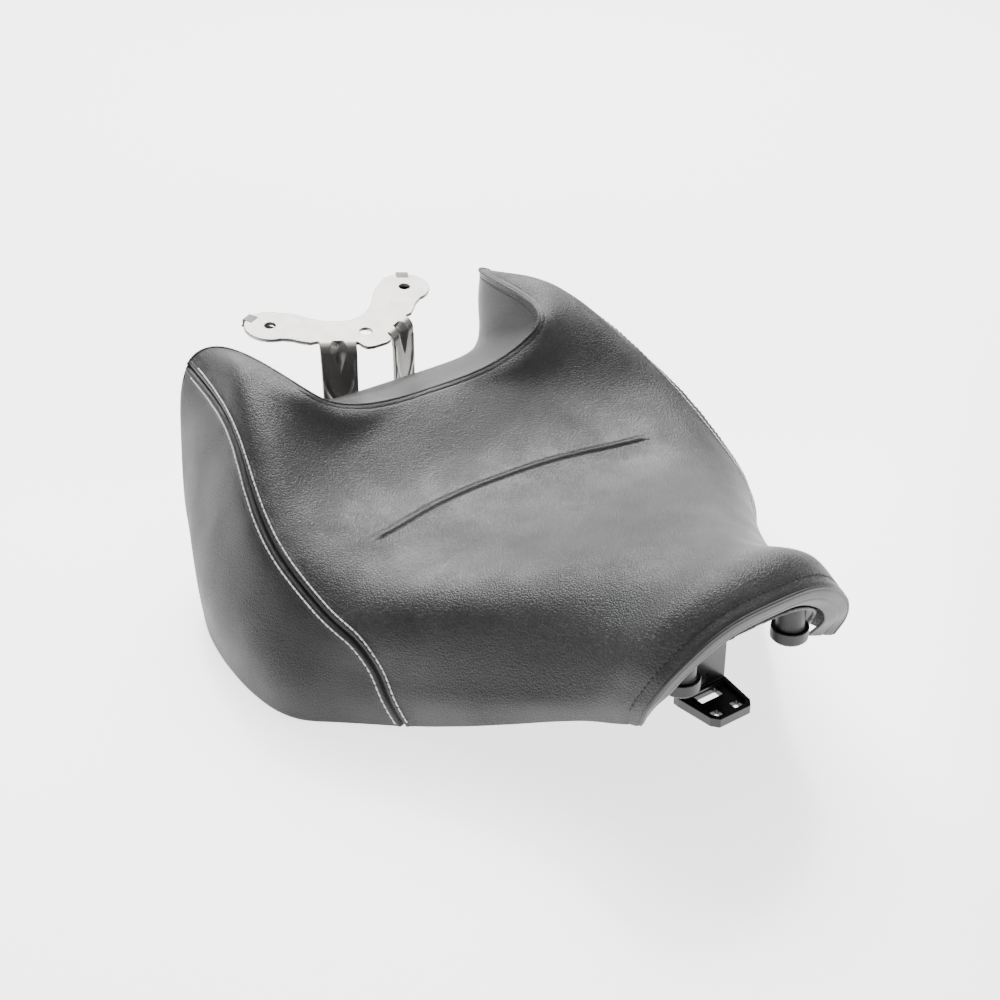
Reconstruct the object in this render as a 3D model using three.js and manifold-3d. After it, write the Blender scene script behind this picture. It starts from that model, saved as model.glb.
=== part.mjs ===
// Motorcycle seat: moulded foam on a plastic base pan, sewn covers, front hook and rear steel bracket.
// Millimetres, +Z up, nose towards -Y, floor at Z = 0.
import * as THREE from 'three';
import Module from 'manifold-3d';

// ---- driving dimensions -------------------------------------------------
const COVER_T = 1.8;          // cover thickness
const FOAM_DROP = 4.0;        // foam surface below the cover's outer face
const PAN_T = 3.0;            // base pan thickness
const FOAM_LIFT = 0.5;        // foam above the pan
const SHEET_T = 3.0;          // bracket sheet
const PLATE_TILT = 7.9;       // bracket plate, degrees, rear edge up
const LEG_SPLAY = 25;         // bracket legs, degrees about Z
const HOLE_R = 4.4;           // clearance for 8 mm bolts
const FIT = 0.3;              // gap between touching pieces
const SHIFT_Y = -9.6;         // puts the middle of the overall length on Y = 0

// Guide points of the seat surface, right half. Each row runs from the middle over the rim to the bottom edge.
const ACROSS = [0, 0.19, 0.36, 0.48, 0.58, 0.68, 0.82, 0.93, 1];
const TOP_AT = [0, 0.03, 0.1325, 0.2575, 0.395, 0.53, 0.68, 0.765, 0.8425, 0.92, 1];
const TOP = [
  // nose seam
  [[0, -253, 137], [22, -253, 136.5], [40, -252, 132.5], [53, -250.5, 126], [64, -248, 117],
    [74, -244.5, 106], [81.5, -240, 92], [84, -235, 79], [82, -230, 67]],
  [[0, -241, 147], [24, -240.5, 146], [44, -238.5, 140.5], [58, -236, 132], [69, -233, 121],
    [79, -229.5, 108], [86, -225, 92], [88.5, -221, 76], [86, -218, 62]],
  [[0, -200, 142], [27, -200, 139.5], [48, -199, 131.5], [64, -197.5, 120.5], [76, -196, 108],
    [86, -194, 93], [94, -192, 76], [98, -189.5, 61], [96, -188, 50]],
  [[0, -150, 127], [35, -150, 125], [60, -149, 118.5], [79, -147.5, 108], [94, -146, 94],
    [107, -144, 77], [118, -142.5, 57], [124, -141, 42], [123, -140.5, 29]],
  [[0, -95, 110], [48, -94, 109], [84, -92.5, 105], [110, -91, 97], [129, -89.5, 84],
    [143, -88, 66], [153, -86, 43], [158, -85, 24], [156, -84, 7]],
  // widest part of the bucket
  [[0, -40, 96], [58, -41, 96], [105, -43, 94.5], [134, -45, 91], [155, -46.5, 82],
    [171, -47, 67], [182, -46.5, 43], [189, -46, 20], [189, -46, 1.5]],
  [[0, 28.5, 91], [58, 24, 91.5], [105, 9.5, 94.5], [138, 2, 95.5], [162, -1, 92],
    [182, -3, 80], [201, -6, 52], [213, -9, 24], [215, -12, 1.5]],
  [[0, 62, 99], [62, 60, 100], [112, 53, 103], [142, 48, 107.5], [163, 45, 108],
    [183, 41, 99], [204, 37, 65], [217, 33, 29], [219, 30, 1.5]],
  [[0, 92, 114], [55, 92, 115], [98, 92, 120], [130, 92, 131], [152, 91, 136.5],
    [173, 88, 123], [198, 83, 76], [213, 80, 34], [214, 78, 2.5]],
  // horns
  [[0, 108, 122], [48, 107, 124.5], [93, 105, 137], [121, 121, 155.5], [138, 150, 162.5],
    [158, 142, 141], [187, 129, 84], [203, 120, 38], [203, 116, 10]],
  // rear seam
  [[0, 118, 125.6], [50, 115.5, 130], [90, 115.5, 144], [109, 138, 158.5], [117, 215, 154],
    [142, 231.5, 141], [167, 203, 92], [184, 168, 50], [186, 150, 22]],
];
const NOSE_AT = [-1, -0.5, 0];
const NOSE = [
  [[0, -246, 121], [18, -246, 120.5], [33, -245.5, 117.5], [44, -244.5, 112], [53, -243, 105],
    [60, -240.5, 96.5], [65, -236, 86], [66.5, -229, 76], [66, -223, 68]],
  [[0, -253, 128], [20, -253, 127.5], [37, -252, 124], [49, -250.5, 118], [59, -248, 110],
    [68, -244.5, 100], [74.5, -239.5, 88], [76, -233, 77], [75, -228, 67.5]],
  TOP[0],
];
const REAR_AT = [1, 1.3, 1.55, 1.75, 2];
const REAR = [
  TOP[TOP.length - 1],
  [[0, 150, 115], [50, 148, 117], [84, 148, 126], [104, 160, 140], [114, 213, 143],
    [135, 229, 133], [160, 201, 87], [178, 167, 47], [182, 151, 20.5]],
  [[0, 177, 106], [50, 178, 106], [80, 183, 106], [98, 195, 108], [110, 209, 115],
    [127, 221, 112], [152, 194, 72], [171, 165, 40], [177, 151, 19]],
  [[0, 185, 80], [50, 185, 80], [80, 187, 80], [100, 192, 81], [116, 198, 82],
    [130, 203, 80], [148, 184, 55], [164, 163, 34], [172, 151, 18.5]],
  [[0, 176, 20], [48, 176, 20], [78, 176, 20], [100, 176, 20], [118, 175, 20],
    [132, 172, 20], [147, 166, 19.5], [160, 157, 19], [167, 150, 18.5]],
];
// Upper face of the base pan, same order of rows, fewer points across.
const PAN_ACROSS = [0, 0.3, 0.55, 0.75, 0.9, 1];
const PAN_AT = [-0.03, 0, 0.03, 0.1325, 0.2575, 0.395, 0.53, 0.68, 0.765, 0.8425, 0.92, 1, 1.12];
const PAN = [
  [[0, -243, 117.5], [25, -243, 116.5], [43, -242, 110.5], [54.5, -239, 101], [60, -230.5, 87], [61.5, -219, 70]],
  [[0, -240, 117], [25, -240, 116], [44, -239, 110], [57, -236, 100], [65, -227.5, 85], [70.5, -218, 70]],
  [[0, -234, 116], [26, -234, 115], [46, -233, 108], [62, -230, 97], [72, -222, 81], [77.5, -211, 66]],
  [[0, -200, 112], [29, -200, 111], [52, -199, 103], [69, -196, 91], [81, -192, 74], [87.5, -187, 53]],
  [[0, -150, 98], [36, -150, 97], [66, -149, 90], [88, -147, 75], [105, -144, 54], [115, -140, 33]],
  [[0, -95, 80], [46, -95, 79], [86, -94, 73], [114, -92, 58], [136, -89, 34], [148, -84, 11]],
  [[0, -40, 66], [60, -40, 66], [108, -41, 60], [142, -43, 44], [166, -45, 22], [181, -46, 5]],
  [[0, 28, 60], [66, 24, 60], [120, 14, 56], [160, 4, 42], [190, -5, 20], [207, -11, 4.5]],
  [[0, 62, 62], [66, 60, 62], [122, 54, 57], [162, 44, 43], [194, 36, 20], [211, 31, 4.5]],
  [[0, 100, 60], [62, 98, 60], [114, 96, 55], [156, 88, 43], [188, 80, 20], [206, 77, 5]],
  [[0, 136, 34], [56, 136, 34], [104, 132, 36], [142, 122, 36], [174, 108, 25], [195, 112, 12]],
  [[0, 152, 23], [56, 152, 23], [104, 150, 24], [134, 138, 26], [159, 126, 25], [177, 138, 23]],
  [[0, 170, 22], [50, 170, 22], [94, 170, 22], [118, 164, 22], [140, 153, 22], [161, 146, 22]],
];
// Side seam: (along, across) pairs from the bottom edge back to the horn tip.
const SEAM = [[0.405, 1], [0.42, 0.93], [0.445, 0.84], [0.478, 0.76], [0.52, 0.705], [0.575, 0.685],
  [0.68, 0.68], [1, 0.68]];

// ---- surface maths ------------------------------------------------------
function solveSpline(knots, values) {
  // second derivatives of a natural cubic spline
  const n = knots.length;
  const m = new Array(n).fill(0);
  const c = new Array(n).fill(0);
  const d = new Array(n).fill(0);
  for (let i = 1; i < n - 1; i += 1) {
    const h0 = knots[i] - knots[i - 1];
    const h1 = knots[i + 1] - knots[i];
    const r = 6 * ((values[i + 1] - values[i]) / h1 - (values[i] - values[i - 1]) / h0);
    const w = 2 * (h0 + h1) - h0 * c[i - 1];
    c[i] = h1 / w;
    d[i] = (r - h0 * d[i - 1]) / w;
  }
  for (let i = n - 2; i > 0; i -= 1) m[i] = d[i] - c[i] * m[i + 1];
  return m;
}

function spline(knots, values) {
  const m = solveSpline(knots, values);
  return (t) => {
    let k = 0;
    while (k < knots.length - 2 && t > knots[k + 1]) k += 1;
    const h = knots[k + 1] - knots[k];
    const a = (knots[k + 1] - t) / h;
    const b = 1 - a;
    const bend = (a * a * a - a) * m[k] + (b * b * b - b) * m[k + 1];
    return a * values[k] + b * values[k + 1] + (bend * h * h) / 6;
  };
}

function patch(rows, at, across) {
  // mirrored control rows -> function (u, v) -> Vector3, u in -1..1
  const n = across.length;
  const full = [...across.slice(1).reverse().map((u) => -u), ...across];
  const lines = full.map((_, c) => {
    const k = Math.abs(c - (n - 1));
    const sign = c < n - 1 ? -1 : 1;
    return [0, 1, 2].map((axis) => spline(at, rows.map((row) => row[k][axis] * (axis === 0 ? sign : 1))));
  });
  const cache = new Map();
  return (u, v) => {
    if (!cache.has(v)) {
      cache.set(v, [0, 1, 2].map((axis) => spline(full, lines.map((line) => line[axis](v)))));
    }
    const s = cache.get(v);
    return new THREE.Vector3(s[0](u), s[1](u), s[2](u));
  };
}

const topPatch = patch(TOP, TOP_AT, ACROSS);
const nosePatch = patch(NOSE, NOSE_AT, ACROSS);
const rearPatch = patch(REAR, REAR_AT, ACROSS);
const panPatch = patch(PAN, PAN_AT, PAN_ACROSS);

function normalOn(fn, u, v, vMin, vMax) {
  const e = 0.004;
  const u0 = Math.max(-1, u - e);
  const u1 = Math.min(1, u + e);
  const v0 = Math.max(vMin, v - e);
  const v1 = Math.min(vMax, v + e);
  const du = fn(u1, v).sub(fn(u0, v));
  const dv = fn(u, v1).sub(fn(u, v0));
  return du.cross(dv).normalize();
}

function seatPoint(u, v, depth) {
  // point on the seat surface moved inwards by depth; mitred at the two creases
  let fn = topPatch;
  let range = [0, 1];
  if (v < -0.006) {
    fn = nosePatch;
    range = [-1, 0];
  } else if (v > 1.006) {
    fn = rearPatch;
    range = [1, 2];
  }
  let p;
  let n;
  const atNose = Math.abs(v) <= 0.006;
  const atRear = Math.abs(v - 1) <= 0.006;
  if (atNose || atRear) {
    const edge = atNose ? 0 : 1;
    const other = atNose ? nosePatch : rearPatch;
    const otherRange = atNose ? [-1, 0] : [1, 2];
    const inTop = atNose ? v >= 0 : v <= 1;
    p = inTop ? topPatch(u, v) : other(u, v);
    const a = normalOn(topPatch, u, edge, 0, 1);
    const b = normalOn(other, u, edge, otherRange[0], otherRange[1]);
    n = a.clone().add(b).divideScalar(Math.max(0.3, 1 + a.dot(b)));
  } else {
    p = fn(u, v);
    n = normalOn(fn, u, v, range[0], range[1]);
  }
  return p.addScaledVector(n, -depth);
}

function panPoint(u, v, lift) {
  const t = v < 0 ? v * 0.03 : v > 1 ? 1 + (v - 1) * 0.12 : v;
  const p = panPatch(u, t);
  const n = normalOn(panPatch, u, t, PAN_AT[0], PAN_AT[PAN_AT.length - 1]);
  return p.addScaledVector(n, lift);
}

function seamAcross(v) {
  if (v <= SEAM[0][0]) return 1;
  for (let i = 1; i < SEAM.length; i += 1) {
    if (v <= SEAM[i][0]) {
      const f = (v - SEAM[i - 1][0]) / (SEAM[i][0] - SEAM[i - 1][0]);
      return SEAM[i - 1][1] + f * (SEAM[i][1] - SEAM[i - 1][1]);
    }
  }
  return SEAM[SEAM.length - 1][1];
}

// ---- mesh helpers -------------------------------------------------------
function solidBetween(outer, inner, nu, nv) {
  // closed body between two grids of the same size; outer faces away from inner
  const pos = [];
  const index = [];
  const row = nu + 1;
  const count = row * (nv + 1);
  for (const fn of [outer, inner]) {
    for (let j = 0; j <= nv; j += 1) {
      for (let i = 0; i <= nu; i += 1) pos.push(...fn(i, j).toArray());
    }
  }
  const quad = (a, b, c, d) => index.push(a, b, c, a, c, d);
  const at = (i, j) => j * row + i;
  for (let j = 0; j < nv; j += 1) {
    for (let i = 0; i < nu; i += 1) {
      quad(at(i, j), at(i + 1, j), at(i + 1, j + 1), at(i, j + 1));
      quad(at(i, j) + count, at(i, j + 1) + count, at(i + 1, j + 1) + count, at(i + 1, j) + count);
    }
  }
  const wall = (a, b) => quad(a, a + count, b + count, b);
  for (let i = 0; i < nu; i += 1) {
    wall(at(i, 0), at(i + 1, 0));
    wall(at(i + 1, nv), at(i, nv));
  }
  for (let j = 0; j < nv; j += 1) {
    wall(at(nu, j), at(nu, j + 1));
    wall(at(0, j + 1), at(0, j));
  }
  const g = new THREE.BufferGeometry();
  g.setAttribute('position', new THREE.Float32BufferAttribute(pos, 3));
  g.setIndex(index);
  g.computeVertexNormals();
  return g;
}

const spaced = (a, b, n) => Array.from({ length: n + 1 }, (_, i) => a + ((b - a) * i) / n);
const middles = [-1, -0.93, -0.86, -0.79, -0.73, -0.68, -0.63, -0.58, -0.53, -0.48, -0.42, -0.36, -0.27, -0.18, -0.09];
const bodyU = [...middles, 0, ...middles.map((u) => -u).reverse()];
const alongTop = [0, 0.015, 0.03, 0.06, 0.1, 0.1325, 0.17, 0.21, 0.2575, 0.3, 0.35, 0.39, 0.405, 0.42, 0.445,
  0.478, 0.52, 0.575, 0.63, 0.68, 0.72, 0.765, 0.805, 0.8425, 0.875, 0.9, 0.92, 0.945, 0.97, 0.985, 1];
const bodyV = [-1, -0.5, ...alongTop, 1.1, 1.2, 1.3, 1.42, 1.55, 1.65, 1.75, 1.88, 2];

function skin(uAt, nu, vs, depth = COVER_T) {
  return solidBetween(
    (i, j) => seatPoint(uAt(i / nu, vs[j]), vs[j], 0),
    (i, j) => seatPoint(uAt(i / nu, vs[j]), vs[j], depth),
    nu,
    vs.length - 1,
  );
}

// ---- solids with holes --------------------------------------------------
const wasm = await Module();
wasm.setup();
const { Manifold, CrossSection, Mesh } = wasm;

function toManifold(g) {
  return new Manifold(new Mesh({
    numProp: 3,
    vertProperties: new Float32Array(g.attributes.position.array),
    triVerts: new Uint32Array(g.index.array),
  }));
}

function toGeometry(solid) {
  const mesh = solid.getMesh();
  const g = new THREE.BufferGeometry();
  g.setAttribute('position', new THREE.Float32BufferAttribute(Array.from(mesh.vertProperties), 3));
  g.setIndex(Array.from(mesh.triVerts));
  g.computeVertexNormals();
  return g;
}

const cylinder = (r, z0, z1, x, y, n = 24) => Manifold.cylinder(z1 - z0, r, r, n).translate([x, y, z0]);
const box = (x0, x1, y0, y1, z0, z1) => Manifold.cube([x1 - x0, y1 - y0, z1 - z0]).translate([x0, y0, z0]);
const deg = Math.PI / 180;

const root = new THREE.Group();
root.name = 'motorcycle_seat';
const looks = {
  leather: new THREE.MeshStandardMaterial({ color: 0x2b2b2d, roughness: 0.6 }),
  foam: new THREE.MeshStandardMaterial({ color: 0x1c1c1d, roughness: 0.9 }),
  plastic: new THREE.MeshStandardMaterial({ color: 0x141415, roughness: 0.5 }),
  rubber: new THREE.MeshStandardMaterial({ color: 0x101010, roughness: 0.8 }),
  steel: new THREE.MeshStandardMaterial({ color: 0xb9b6ae, roughness: 0.35, metalness: 1 }),
  zinc: new THREE.MeshStandardMaterial({ color: 0x8f9092, roughness: 0.4, metalness: 1 }),
};
function add(name, geometry, look) {
  geometry.translate(0, SHIFT_Y, 0);
  const mesh = new THREE.Mesh(geometry, looks[look].clone());
  mesh.name = name;
  root.add(mesh);
}

// ---- foam and covers ----------------------------------------------------
const nu = bodyU.length - 1;
const nv = bodyV.length - 1;
const seamGap = (v) => (v < 0.53 ? 0.003 : 0.001);
const topV = [0.001, ...alongTop.slice(1, -1), 0.9985];
const topU = bodyU.filter((u) => Math.abs(u) <= 0.68).map((u) => u / 0.68);
const topAcross = (f, v) => {
  const edge = v < SEAM[0][0] ? 1 : Math.min(1, seamAcross(v) - seamGap(v));
  return topU[Math.round(f * (topU.length - 1))] * edge;
};
add('top_cover', skin(topAcross, topU.length - 1, topV), 'leather');
// the foam keeps clear of the cover where the horn ridges are sharp
const foamBlock = toManifold(solidBetween(
  (i, j) => seatPoint(bodyU[i], bodyV[j], FOAM_DROP),
  (i, j) => panPoint(bodyU[i], bodyV[j], FOAM_LIFT),
  nu,
  nv,
)).subtract(toManifold(skin(topAcross, topU.length - 1, topV, COVER_T + FIT)));
const foamBodies = foamBlock.decompose().sort((p, q) => q.volume() - p.volume());
add('foam_core', toGeometry(foamBodies[0]), 'foam');
const sideV = [0.412, ...alongTop.filter((v) => v > 0.415 && v < 1), 0.9985];
add('side_cover_left', skin((f, v) => {
  const edge = seamAcross(v) + seamGap(v);
  return edge + (1 - edge) * f;
}, 7, sideV), 'leather');
add('side_cover_right', skin((f, v) => {
  const edge = seamAcross(v) + seamGap(v);
  return -1 + (1 - edge) * f;
}, 7, sideV), 'leather');
add('rear_cover', skin((f) => bodyU[Math.round(f * nu)], nu, [1.005, ...bodyV.filter((v) => v > 1)]), 'leather');
add('nose_cover', skin((f) => bodyU[Math.round(f * nu)], nu, [-1, -0.75, -0.5, -0.25, -0.003]), 'leather');

// ---- base pan -----------------------------------------------------------
const panShell = solidBetween(
  (i, j) => panPoint(bodyU[i], bodyV[j], 0),
  (i, j) => panPoint(bodyU[i], bodyV[j], -PAN_T),
  nu,
  nv,
);
const overPan = toManifold(solidBetween(
  (i, j) => panPoint(bodyU[i], bodyV[j], 40),
  (i, j) => panPoint(bodyU[i], bodyV[j], -PAN_T - FIT),
  nu,
  nv,
));
const c = Math.cos(LEG_SPLAY * deg);
const s = Math.sin(LEG_SPLAY * deg);
const LEG_AT = [30, 198.8];
const FOOT_TOP = 18.4;
const BOLT_OUT = 42;
const footBolt = (side) => [side * (LEG_AT[0] + s * BOLT_OUT), LEG_AT[1] - c * BOLT_OUT];
const TONGUE_SCREWS = [[-12, -206], [12, -206]];
let pan = toManifold(panShell);
for (const side of [-1, 1]) {
  const [x, y] = footBolt(side);
  pan = pan.subtract(cylinder(3.4, 0, 40, x, y, 20));
}
for (const [x, y] of TONGUE_SCREWS) pan = pan.subtract(cylinder(2.9, 90, 130, x, y, 20));
add('base_pan', toGeometry(pan), 'plastic');

// ---- front hook ---------------------------------------------------------
const hookPlan = new CrossSection([[[-20.5, -192], [-20.5, -197], [-17, -224], [-13, -229], [13, -229],
  [17, -224], [20.5, -197], [20.5, -192]]]);
const recess = new CrossSection([[[-16.5, -198.5], [-14, -222], [-11, -225.5], [11, -225.5], [14, -222],
  [16.5, -198.5]]]);
let hook = hookPlan.extrude(7).translate([0, 0, 32])
  .subtract(recess.extrude(4).translate([0, 0, 36.5]))
  .add(box(-20, 20, -196, -192, 32, 107.5))
  .add(box(-20, 20, -214, -192, 103.5, 107.5))
  .add(box(-20, -17, -208, -192, 86, 107.5))
  .add(box(17, 20, -208, -192, 86, 107.5));
hook = hook.subtract(box(-9, 9, -207, -199, 30, 40));
for (const side of [-1, 1]) {
  hook = hook.subtract(box(side * 8.5 - 3.2, side * 8.5 + 3.2, -223, -217, 30, 40));
  hook = hook.subtract(cylinder(2.9, 100, 110, side * 12, -206, 20));
}
hook = hook.subtract(overPan);
add('front_tongue', toGeometry(hook), 'plastic');
TONGUE_SCREWS.forEach(([x, y], k) => {
  const screw = cylinder(2.5, 100.2, 111, x, y, 20).add(cylinder(4.6, 97, 100.3, x, y, 24));
  add(k ? 'tongue_screw_left' : 'tongue_screw_right', toGeometry(screw), 'zinc');
  const ring = cylinder(4.7, 100.6, 103.2, x, y, 24).subtract(cylinder(2.9, 90, 110, x, y, 24));
  add(k ? 'tongue_collar_left' : 'tongue_collar_right', toGeometry(ring), 'zinc');
});

// ---- rubber buffers -----------------------------------------------------
const BUFFERS = [['front', 46, -225, 12.5, 76], ['mid', 160, -40, 11, 0], ['rear', 172, 90, 13, 0]];
for (const [place, x, y, r, z] of BUFFERS) {
  for (const side of [-1, 1]) {
    const name = `${place}_buffer_${side > 0 ? 'left' : 'right'}`;
    const stub = Manifold.cylinder(2, r - 2, r, 28).translate([side * x, y, z])
      .add(cylinder(r, z + 2, z + 10, side * x, y, 28))
      .add(cylinder(r - 3, z + 10, z + 60, side * x, y, 28))
      .subtract(overPan);
    const pieces = stub.decompose();
    pieces.sort((a, b) => a.boundingBox().min[2] - b.boundingBox().min[2]);
    add(name, toGeometry(pieces[0]), 'rubber');
  }
}

// ---- rear bracket -------------------------------------------------------
const LOBE = [62.3, 247.4];
const LOBE_R = 20.2;
const lobeArc = spaced(-75, 140, 18).map((a) => [
  LOBE[0] + LOBE_R * Math.cos(a * deg), LOBE[1] + LOBE_R * Math.sin(a * deg)]);
const half = [[6, 185.8], [10.5, 187.2], [12.6, 190], [15.6, 191], [43, 203.6], [46.5, 211], [51, 217.5], [58, 223.5],
  [64, 227], ...lobeArc, [39, 256], [31, 247], [24, 238.5], [14, 230.5], [7, 227.5]];
const outline = [...half, ...half.slice().reverse().map(([x, y]) => [-x, y])];
let plate = new CrossSection([outline]).extrude(SHEET_T);
plate = plate.subtract(cylinder(HOLE_R, -5, 10, LOBE[0], LOBE[1], 32));
plate = plate.subtract(cylinder(HOLE_R, -5, 10, -LOBE[0], LOBE[1], 32));
plate = plate.subtract(cylinder(HOLE_R + 0.6, -5, 10, 0, 207, 32));
plate = plate.translate([0, -207, -SHEET_T]).rotate([PLATE_TILT, 0, 0]).translate([0, 207, 138.4]);
const legLocal = box(-14.5, 14.5, -1.5, 1.5, FOOT_TOP - SHEET_T, 136)
  .add(box(-14.5, 14.5, -54, 1.5, FOOT_TOP - SHEET_T, FOOT_TOP))
  .add(new CrossSection([[[0, 0], [0, -16], [13, 0]]]).extrude(5).rotate([90, 0, 90])
    .translate([-2.5, 1, 134]));
let bracket = plate;
for (const side of [-1, 1]) {
  const leg = legLocal.rotate([0, 0, side * LEG_SPLAY]).translate([side * LEG_AT[0], LEG_AT[1], 0]);
  const [x, y] = footBolt(side);
  bracket = bracket.add(leg).subtract(cylinder(3.4, 0, 30, x, y, 24));
}
add('rear_bracket', toGeometry(bracket), 'steel');
for (const side of [-1, 1]) {
  const tag = side > 0 ? 'left' : 'right';
  const [x, y] = footBolt(side);
  const under = FOOT_TOP - SHEET_T;
  const washer = cylinder(7, under - 1.8, under - FIT, x, y, 28).subtract(cylinder(3.4, 0, 30, x, y, 28));
  const head = under - 2.1;
  const bolt = cylinder(3, head - 1, 21.5, x, y, 20).add(cylinder(5.4, head - 4.5, head, x, y, 6));
  add(`bracket_washer_${tag}`, toGeometry(washer), 'zinc');
  add(`bracket_bolt_${tag}`, toGeometry(bolt), 'zinc');
}
// clip nuts pushed over the rear edge of the two lobes
for (const side of [-1, 1]) {
  const clip = box(-5, 5, 19.4, 22.4, -SHEET_T - 1.8, 1.4)
    .add(box(-5, 5, 14, 22.4, FIT, 1.4))
    .add(box(-6, 6, -7, 22.4, -SHEET_T - 1.8, -SHEET_T - FIT))
    .add(cylinder(5.6, -SHEET_T - 7, -SHEET_T - 1, 0, 0, 24))
    .subtract(cylinder(LOBE_R + FIT, -SHEET_T - FIT, FIT, 0, 0, 96))
    .subtract(cylinder(3.4, -20, 5, 0, 0, 24));
  const placed = clip.rotate([0, 0, -side * 27]).translate([side * LOBE[0], LOBE[1] - 207, 0])
    .rotate([PLATE_TILT, 0, 0]).translate([0, 207, 138.4]);
  add(`clip_nut_${side > 0 ? 'left' : 'right'}`, toGeometry(placed), 'zinc');
}

export default root;
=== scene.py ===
import math
import random

import bpy
import bmesh
import numpy as np
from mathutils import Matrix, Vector
from mathutils.geometry import delaunay_2d_cdt


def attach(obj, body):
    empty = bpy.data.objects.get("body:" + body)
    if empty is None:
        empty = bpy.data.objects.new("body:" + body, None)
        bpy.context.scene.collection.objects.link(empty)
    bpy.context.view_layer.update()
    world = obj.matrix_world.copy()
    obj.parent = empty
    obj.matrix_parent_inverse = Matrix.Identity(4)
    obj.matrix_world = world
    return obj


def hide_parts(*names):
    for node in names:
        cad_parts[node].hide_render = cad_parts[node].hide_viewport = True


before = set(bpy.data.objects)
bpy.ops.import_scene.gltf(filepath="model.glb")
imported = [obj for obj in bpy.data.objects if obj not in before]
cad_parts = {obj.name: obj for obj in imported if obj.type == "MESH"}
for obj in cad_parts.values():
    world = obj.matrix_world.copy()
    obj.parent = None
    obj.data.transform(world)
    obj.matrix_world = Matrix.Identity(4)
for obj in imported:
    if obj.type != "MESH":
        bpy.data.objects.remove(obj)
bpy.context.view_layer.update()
random.seed(4)
SHIFT_Y = -9.6      # mm, as in the CAD part
MM = 0.001

# ---------------------------------------------------------------- seat surface
# Guide points in mm, right half, from the middle over the rim to the bottom edge.
ACROSS = [0, 0.19, 0.36, 0.48, 0.58, 0.68, 0.82, 0.93, 1]
TOP_AT = [0, 0.03, 0.1325, 0.2575, 0.395, 0.53, 0.68, 0.765, 0.8425, 0.92, 1]
TOP = [
    [[0, -253, 137], [22, -253, 136.5], [40, -252, 132.5], [53, -250.5, 126], [64, -248, 117],
     [74, -244.5, 106], [81.5, -240, 92], [84, -235, 79], [82, -230, 67]],
    [[0, -241, 147], [24, -240.5, 146], [44, -238.5, 140.5], [58, -236, 132], [69, -233, 121],
     [79, -229.5, 108], [86, -225, 92], [88.5, -221, 76], [86, -218, 62]],
    [[0, -200, 142], [27, -200, 139.5], [48, -199, 131.5], [64, -197.5, 120.5], [76, -196, 108],
     [86, -194, 93], [94, -192, 76], [98, -189.5, 61], [96, -188, 50]],
    [[0, -150, 127], [35, -150, 125], [60, -149, 118.5], [79, -147.5, 108], [94, -146, 94],
     [107, -144, 77], [118, -142.5, 57], [124, -141, 42], [123, -140.5, 29]],
    [[0, -95, 110], [48, -94, 109], [84, -92.5, 105], [110, -91, 97], [129, -89.5, 84],
     [143, -88, 66], [153, -86, 43], [158, -85, 24], [156, -84, 7]],
    [[0, -40, 96], [58, -41, 96], [105, -43, 94.5], [134, -45, 91], [155, -46.5, 82],
     [171, -47, 67], [182, -46.5, 43], [189, -46, 20], [189, -46, 1.5]],
    [[0, 28.5, 91], [58, 24, 91.5], [105, 9.5, 94.5], [138, 2, 95.5], [162, -1, 92],
     [182, -3, 80], [201, -6, 52], [213, -9, 24], [215, -12, 1.5]],
    [[0, 62, 99], [62, 60, 100], [112, 53, 103], [142, 48, 107.5], [163, 45, 108],
     [183, 41, 99], [204, 37, 65], [217, 33, 29], [219, 30, 1.5]],
    [[0, 92, 114], [55, 92, 115], [98, 92, 120], [130, 92, 131], [152, 91, 136.5],
     [173, 88, 123], [198, 83, 76], [213, 80, 34], [214, 78, 2.5]],
    [[0, 108, 122], [48, 107, 124.5], [93, 105, 137], [121, 121, 155.5], [138, 150, 162.5],
     [158, 142, 141], [187, 129, 84], [203, 120, 38], [203, 116, 10]],
    [[0, 118, 125.6], [50, 115.5, 130], [90, 115.5, 144], [109, 138, 158.5], [117, 215, 154],
     [142, 231.5, 141], [167, 203, 92], [184, 168, 50], [186, 150, 22]],
]
NOSE_AT = [-1, -0.5, 0]
NOSE = [
    [[0, -246, 121], [18, -246, 120.5], [33, -245.5, 117.5], [44, -244.5, 112], [53, -243, 105],
     [60, -240.5, 96.5], [65, -236, 86], [66.5, -229, 76], [66, -223, 68]],
    [[0, -253, 128], [20, -253, 127.5], [37, -252, 124], [49, -250.5, 118], [59, -248, 110],
     [68, -244.5, 100], [74.5, -239.5, 88], [76, -233, 77], [75, -228, 67.5]],
    TOP[0],
]
REAR_AT = [1, 1.3, 1.55, 1.75, 2]
REAR = [
    TOP[-1],
    [[0, 150, 115], [50, 148, 117], [84, 148, 126], [104, 160, 140], [114, 213, 143],
     [135, 229, 133], [160, 201, 87], [178, 167, 47], [182, 151, 20.5]],
    [[0, 177, 106], [50, 178, 106], [80, 183, 106], [98, 195, 108], [110, 209, 115],
     [127, 221, 112], [152, 194, 72], [171, 165, 40], [177, 151, 19]],
    [[0, 185, 80], [50, 185, 80], [80, 187, 80], [100, 192, 81], [116, 198, 82],
     [130, 203, 80], [148, 184, 55], [164, 163, 34], [172, 151, 18.5]],
    [[0, 176, 20], [48, 176, 20], [78, 176, 20], [100, 176, 20], [118, 175, 20],
     [132, 172, 20], [147, 166, 19.5], [160, 157, 19], [167, 150, 18.5]],
]


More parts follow.
